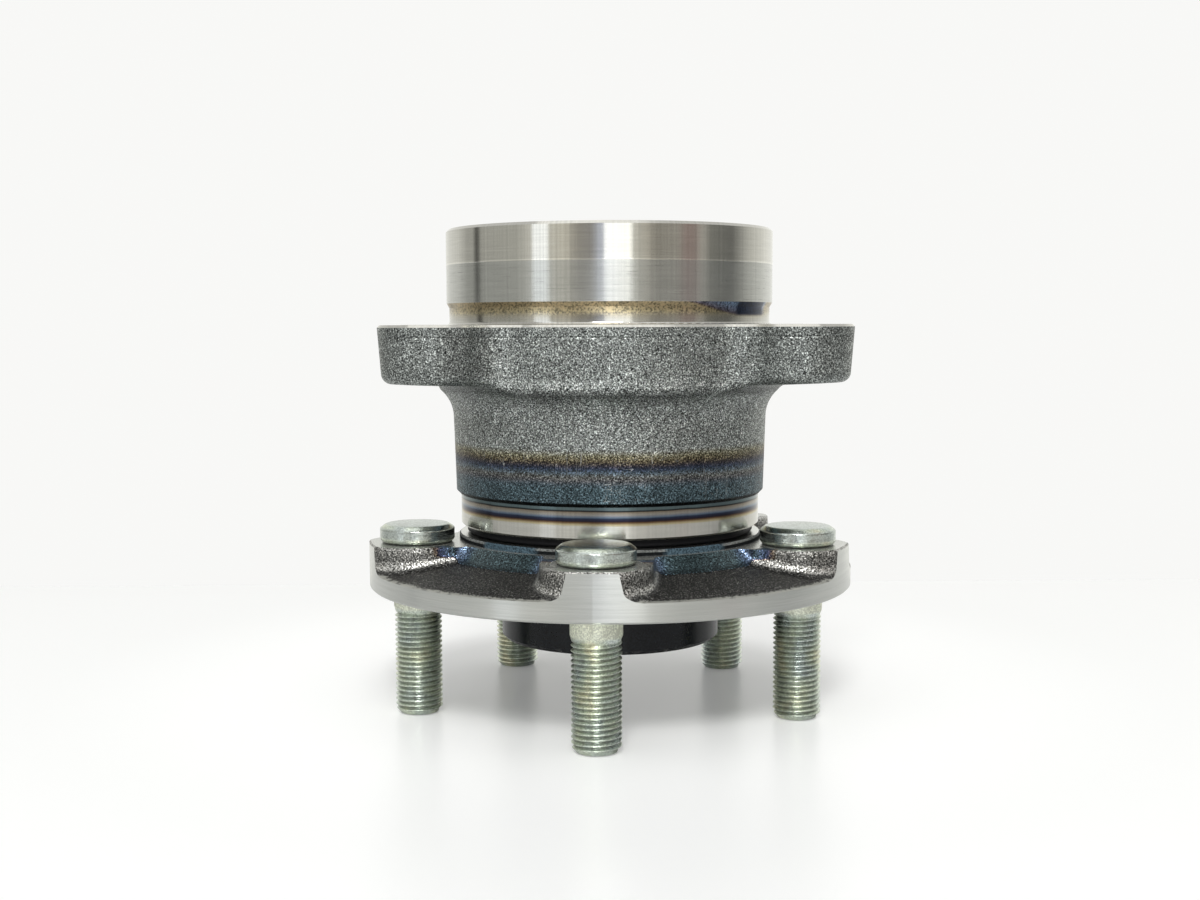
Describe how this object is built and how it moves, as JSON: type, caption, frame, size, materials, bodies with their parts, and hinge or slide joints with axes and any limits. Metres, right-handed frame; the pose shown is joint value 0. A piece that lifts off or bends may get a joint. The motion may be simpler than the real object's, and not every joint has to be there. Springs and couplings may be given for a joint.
{
  "type": "wheel hub bearing",
  "caption": "Flanged wheel hub bearing unit: a studded wheel hub that turns on two rows of caged balls inside a flanged outer ring.",
  "frame": {"origin": "where the bearing axis crosses the wheel mounting face, at the centre of the stud circle", "axes": "+Z along the axis of rotation, inboard from the wheel to the knuckle; X and Y along the sides of the knuckle bolt rectangle"},
  "size_m": [0.1236, 0.1236, 0.1217],
  "materials": {
    "forged_outer_ring": "shot-blasted forging with turned and ground seats",
    "forged_hub": "machined steel with dark forged pockets",
    "ground_bearing_steel": "ground",
    "ball_steel": "polished",
    "cage_polymer": "moulded",
    "seal_steel": "pressed sheet",
    "seal_rubber": "moulded rubber",
    "encoder_magnet": "magnetised rubber",
    "stud_plating": "passivated zinc plating"
  },
  "bodies": {
    "knuckle_side": {"outer_ring": "forged_outer_ring", "outboard_seal_case": "seal_steel", "outboard_seal_lip": "seal_rubber", "inboard_seal_case": "seal_steel", "inboard_seal_lip": "seal_rubber"},
    "wheel_side": {"wheel_hub": "forged_hub", "inner_ring": "ground_bearing_steel", "encoder_slinger": "seal_steel", "encoder_ring": "encoder_magnet", "wheel_stud_1": "stud_plating", "wheel_stud_2": "stud_plating", "wheel_stud_3": "stud_plating", "wheel_stud_4": "stud_plating", "wheel_stud_5": "stud_plating"},
    "outboard_cage": {"outboard_cage": "cage_polymer"},
    "inboard_cage": {"inboard_cage": "cage_polymer"},
    "outboard_ball_01": {"outboard_ball_01": "ball_steel"},
    "outboard_ball_02": {"outboard_ball_02": "ball_steel"},
    "outboard_ball_03": {"outboard_ball_03": "ball_steel"},
    "outboard_ball_04": {"outboard_ball_04": "ball_steel"},
    "outboard_ball_05": {"outboard_ball_05": "ball_steel"},
    "outboard_ball_06": {"outboard_ball_06": "ball_steel"},
    "outboard_ball_07": {"outboard_ball_07": "ball_steel"},
    "outboard_ball_08": {"outboard_ball_08": "ball_steel"},
    "outboard_ball_09": {"outboard_ball_09": "ball_steel"},
    "outboard_ball_10": {"outboard_ball_10": "ball_steel"},
    "outboard_ball_11": {"outboard_ball_11": "ball_steel"},
    "outboard_ball_12": {"outboard_ball_12": "ball_steel"},
    "outboard_ball_13": {"outboard_ball_13": "ball_steel"},
    "inboard_ball_01": {"inboard_ball_01": "ball_steel"},
    "inboard_ball_02": {"inboard_ball_02": "ball_steel"},
    "inboard_ball_03": {"inboard_ball_03": "ball_steel"},
    "inboard_ball_04": {"inboard_ball_04": "ball_steel"},
    "inboard_ball_05": {"inboard_ball_05": "ball_steel"},
    "inboard_ball_06": {"inboard_ball_06": "ball_steel"},
    "inboard_ball_07": {"inboard_ball_07": "ball_steel"},
    "inboard_ball_08": {"inboard_ball_08": "ball_steel"},
    "inboard_ball_09": {"inboard_ball_09": "ball_steel"},
    "inboard_ball_10": {"inboard_ball_10": "ball_steel"},
    "inboard_ball_11": {"inboard_ball_11": "ball_steel"},
    "inboard_ball_12": {"inboard_ball_12": "ball_steel"},
    "inboard_ball_13": {"inboard_ball_13": "ball_steel"}
  },
  "joints": [
    {"name": "hub_spin", "type": "hinge", "parent": "knuckle_side", "child": "wheel_side", "pos_m": [0, 0, 0], "axis": [0, 0, 1], "continuous": true},
    {"name": "outboard_cage_orbit", "type": "hinge", "parent": "knuckle_side", "child": "outboard_cage", "pos_m": [0, 0, 0.0268], "axis": [0, 0, 1], "continuous": true},
    {"name": "inboard_cage_orbit", "type": "hinge", "parent": "knuckle_side", "child": "inboard_cage", "pos_m": [0, 0, 0.0732], "axis": [0, 0, 1], "continuous": true},
    {"name": "outboard_ball_01_roll", "type": "hinge", "parent": "outboard_cage", "child": "outboard_ball_01", "pos_m": [0.02875, 0, 0.0268], "axis": [-0.6428, 0, 0.766], "continuous": true},
    {"name": "outboard_ball_02_roll", "type": "hinge", "parent": "outboard_cage", "child": "outboard_ball_02", "pos_m": [0.02546, 0.01336, 0.0268], "axis": [-0.5692, -0.2987, 0.766], "continuous": true},
    {"name": "outboard_ball_03_roll", "type": "hinge", "parent": "outboard_cage", "child": "outboard_ball_03", "pos_m": [0.01633, 0.02366, 0.0268], "axis": [-0.3651, -0.529, 0.766], "continuous": true},
    {"name": "outboard_ball_04_roll", "type": "hinge", "parent": "outboard_cage", "child": "outboard_ball_04", "pos_m": [0.00347, 0.02854, 0.0268], "axis": [-0.0775, -0.6381, 0.766], "continuous": true},
    {"name": "outboard_ball_05_roll", "type": "hinge", "parent": "outboard_cage", "child": "outboard_ball_05", "pos_m": [-0.01019, 0.02688, 0.0268], "axis": [0.2279, -0.601, 0.766], "continuous": true},
    {"name": "outboard_ball_06_roll", "type": "hinge", "parent": "outboard_cage", "child": "outboard_ball_06", "pos_m": [-0.02152, 0.01906, 0.0268], "axis": [0.4811, -0.4262, 0.766], "continuous": true},
    {"name": "outboard_ball_07_roll", "type": "hinge", "parent": "outboard_cage", "child": "outboard_ball_07", "pos_m": [-0.02791, 0.00688, 0.0268], "axis": [0.6241, -0.1538, 0.766], "continuous": true},
    {"name": "outboard_ball_08_roll", "type": "hinge", "parent": "outboard_cage", "child": "outboard_ball_08", "pos_m": [-0.02791, -0.00688, 0.0268], "axis": [0.6241, 0.1538, 0.766], "continuous": true},
    {"name": "outboard_ball_09_roll", "type": "hinge", "parent": "outboard_cage", "child": "outboard_ball_09", "pos_m": [-0.02152, -0.01906, 0.0268], "axis": [0.4811, 0.4262, 0.766], "continuous": true},
    {"name": "outboard_ball_10_roll", "type": "hinge", "parent": "outboard_cage", "child": "outboard_ball_10", "pos_m": [-0.01019, -0.02688, 0.0268], "axis": [0.2279, 0.601, 0.766], "continuous": true},
    {"name": "outboard_ball_11_roll", "type": "hinge", "parent": "outboard_cage", "child": "outboard_ball_11", "pos_m": [0.00347, -0.02854, 0.0268], "axis": [-0.0775, 0.6381, 0.766], "continuous": true},
    {"name": "outboard_ball_12_roll", "type": "hinge", "parent": "outboard_cage", "child": "outboard_ball_12", "pos_m": [0.01633, -0.02366, 0.0268], "axis": [-0.3651, 0.529, 0.766], "continuous": true},
    {"name": "outboard_ball_13_roll", "type": "hinge", "parent": "outboard_cage", "child": "outboard_ball_13", "pos_m": [0.02546, -0.01336, 0.0268], "axis": [-0.5692, 0.2987, 0.766], "continuous": true},
    {"name": "inboard_ball_01_roll", "type": "hinge", "parent": "inboard_cage", "child": "inboard_ball_01", "pos_m": [0.02875, 0, 0.0732], "axis": [0.6428, 0, 0.766], "continuous": true},
    {"name": "inboard_ball_02_roll", "type": "hinge", "parent": "inboard_cage", "child": "inboard_ball_02", "pos_m": [0.02546, 0.01336, 0.0732], "axis": [0.5692, 0.2987, 0.766], "continuous": true},
    {"name": "inboard_ball_03_roll", "type": "hinge", "parent": "inboard_cage", "child": "inboard_ball_03", "pos_m": [0.01633, 0.02366, 0.0732], "axis": [0.3651, 0.529, 0.766], "continuous": true},
    {"name": "inboard_ball_04_roll", "type": "hinge", "parent": "inboard_cage", "child": "inboard_ball_04", "pos_m": [0.00347, 0.02854, 0.0732], "axis": [0.0775, 0.6381, 0.766], "continuous": true},
    {"name": "inboard_ball_05_roll", "type": "hinge", "parent": "inboard_cage", "child": "inboard_ball_05", "pos_m": [-0.01019, 0.02688, 0.0732], "axis": [-0.2279, 0.601, 0.766], "continuous": true},
    {"name": "inboard_ball_06_roll", "type": "hinge", "parent": "inboard_cage", "child": "inboard_ball_06", "pos_m": [-0.02152, 0.01906, 0.0732], "axis": [-0.4811, 0.4262, 0.766], "continuous": true},
    {"name": "inboard_ball_07_roll", "type": "hinge", "parent": "inboard_cage", "child": "inboard_ball_07", "pos_m": [-0.02791, 0.00688, 0.0732], "axis": [-0.6241, 0.1538, 0.766], "continuous": true},
    {"name": "inboard_ball_08_roll", "type": "hinge", "parent": "inboard_cage", "child": "inboard_ball_08", "pos_m": [-0.02791, -0.00688, 0.0732], "axis": [-0.6241, -0.1538, 0.766], "continuous": true},
    {"name": "inboard_ball_09_roll", "type": "hinge", "parent": "inboard_cage", "child": "inboard_ball_09", "pos_m": [-0.02152, -0.01906, 0.0732], "axis": [-0.4811, -0.4262, 0.766], "continuous": true},
    {"name": "inboard_ball_10_roll", "type": "hinge", "parent": "inboard_cage", "child": "inboard_ball_10", "pos_m": [-0.01019, -0.02688, 0.0732], "axis": [-0.2279, -0.601, 0.766], "continuous": true},
    {"name": "inboard_ball_11_roll", "type": "hinge", "parent": "inboard_cage", "child": "inboard_ball_11", "pos_m": [0.00347, -0.02854, 0.0732], "axis": [0.0775, -0.6381, 0.766], "continuous": true},
    {"name": "inboard_ball_12_roll", "type": "hinge", "parent": "inboard_cage", "child": "inboard_ball_12", "pos_m": [0.01633, -0.02366, 0.0732], "axis": [0.3651, -0.529, 0.766], "continuous": true},
    {"name": "inboard_ball_13_roll", "type": "hinge", "parent": "inboard_cage", "child": "inboard_ball_13", "pos_m": [0.02546, -0.01336, 0.0732], "axis": [0.5692, -0.2987, 0.766], "continuous": true}
  ],
  "couplings": [
    {"joint": "outboard_cage_orbit", "follows": "hub_spin", "ratio": 0.42069},
    {"joint": "inboard_cage_orbit", "follows": "hub_spin", "ratio": 0.42069},
    {"joint": "outboard_ball_01_roll", "follows": "hub_spin", "ratio": -2.354},
    {"joint": "outboard_ball_02_roll", "follows": "hub_spin", "ratio": -2.354},
    {"joint": "outboard_ball_03_roll", "follows": "hub_spin", "ratio": -2.354},
    {"joint": "outboard_ball_04_roll", "follows": "hub_spin", "ratio": -2.354},
    {"joint": "outboard_ball_05_roll", "follows": "hub_spin", "ratio": -2.354},
    {"joint": "outboard_ball_06_roll", "follows": "hub_spin", "ratio": -2.354},
    {"joint": "outboard_ball_07_roll", "follows": "hub_spin", "ratio": -2.354},
    {"joint": "outboard_ball_08_roll", "follows": "hub_spin", "ratio": -2.354},
    {"joint": "outboard_ball_09_roll", "follows": "hub_spin", "ratio": -2.354},
    {"joint": "outboard_ball_10_roll", "follows": "hub_spin", "ratio": -2.354},
    {"joint": "outboard_ball_11_roll", "follows": "hub_spin", "ratio": -2.354},
    {"joint": "outboard_ball_12_roll", "follows": "hub_spin", "ratio": -2.354},
    {"joint": "outboard_ball_13_roll", "follows": "hub_spin", "ratio": -2.354},
    {"joint": "inboard_ball_01_roll", "follows": "hub_spin", "ratio": -2.354},
    {"joint": "inboard_ball_02_roll", "follows": "hub_spin", "ratio": -2.354},
    {"joint": "inboard_ball_03_roll", "follows": "hub_spin", "ratio": -2.354},
    {"joint": "inboard_ball_04_roll", "follows": "hub_spin", "ratio": -2.354},
    {"joint": "inboard_ball_05_roll", "follows": "hub_spin", "ratio": -2.354},
    {"joint": "inboard_ball_06_roll", "follows": "hub_spin", "ratio": -2.354},
    {"joint": "inboard_ball_07_roll", "follows": "hub_spin", "ratio": -2.354},
    {"joint": "inboard_ball_08_roll", "follows": "hub_spin", "ratio": -2.354},
    {"joint": "inboard_ball_09_roll", "follows": "hub_spin", "ratio": -2.354},
    {"joint": "inboard_ball_10_roll", "follows": "hub_spin", "ratio": -2.354},
    {"joint": "inboard_ball_11_roll", "follows": "hub_spin", "ratio": -2.354},
    {"joint": "inboard_ball_12_roll", "follows": "hub_spin", "ratio": -2.354},
    {"joint": "inboard_ball_13_roll", "follows": "hub_spin", "ratio": -2.354}
  ]
}
